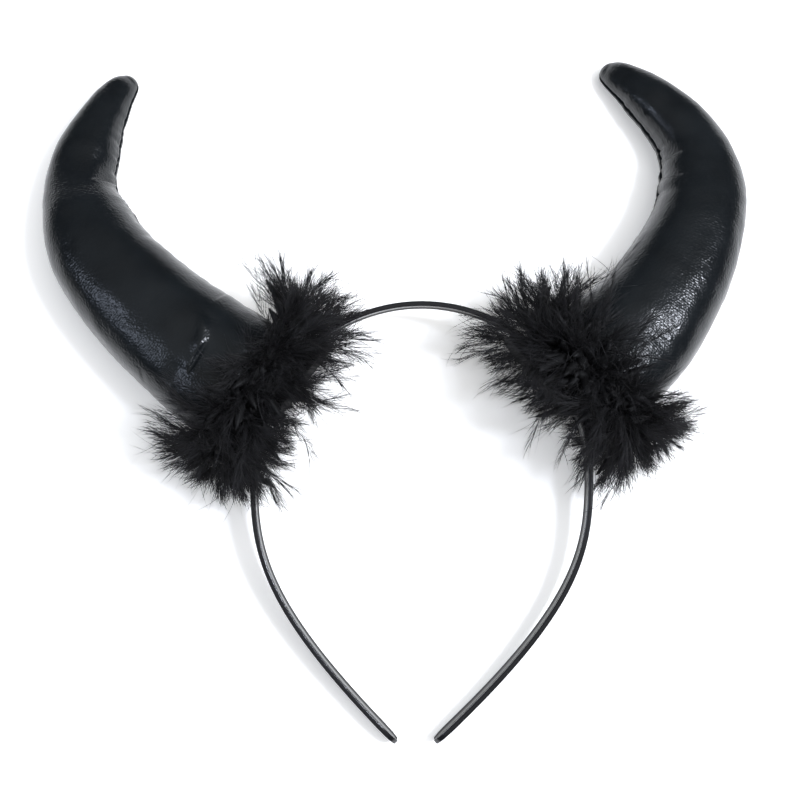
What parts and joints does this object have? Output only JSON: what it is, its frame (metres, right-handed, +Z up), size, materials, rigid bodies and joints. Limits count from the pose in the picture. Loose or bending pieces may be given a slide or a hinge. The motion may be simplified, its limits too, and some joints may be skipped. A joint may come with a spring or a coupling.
{
  "type": "costume headband",
  "caption": "Costume headband: a thin black plastic alice band with curved, stuffed glossy faux-leather devil horns and fluffy marabou feather trims round their bases",
  "frame": {"origin": "on the table under the middle of the whole outline, the headband lying on its back", "axes": "+X towards the horn on the picture's right, +Y from the band's tips to the horn tips, +Z up off the table, towards the face of the horns seen in the picture"},
  "size_m": [0.253, 0.2474, 0.0616],
  "materials": {
    "black_plastic": "injection moulded, satin",
    "black_faux_leather": "glossy coated faux leather, sewn and turned",
    "polyester_fill": "loose polyester fill",
    "black_felt": "pressed felt",
    "black_marabou": "soft dyed marabou feather"
  },
  "bodies": {
    "root": {"headband": "black_plastic", "left_horn_front_panel": "black_faux_leather", "left_horn_back_panel": "black_faux_leather", "right_horn_front_panel": "black_faux_leather", "right_horn_back_panel": "black_faux_leather", "left_horn_stuffing": "polyester_fill", "right_horn_stuffing": "polyester_fill", "left_base_pad": "black_felt", "right_base_pad": "black_felt", "left_feather_trim": "black_marabou", "right_feather_trim": "black_marabou"}
  },
  "joints": []
}
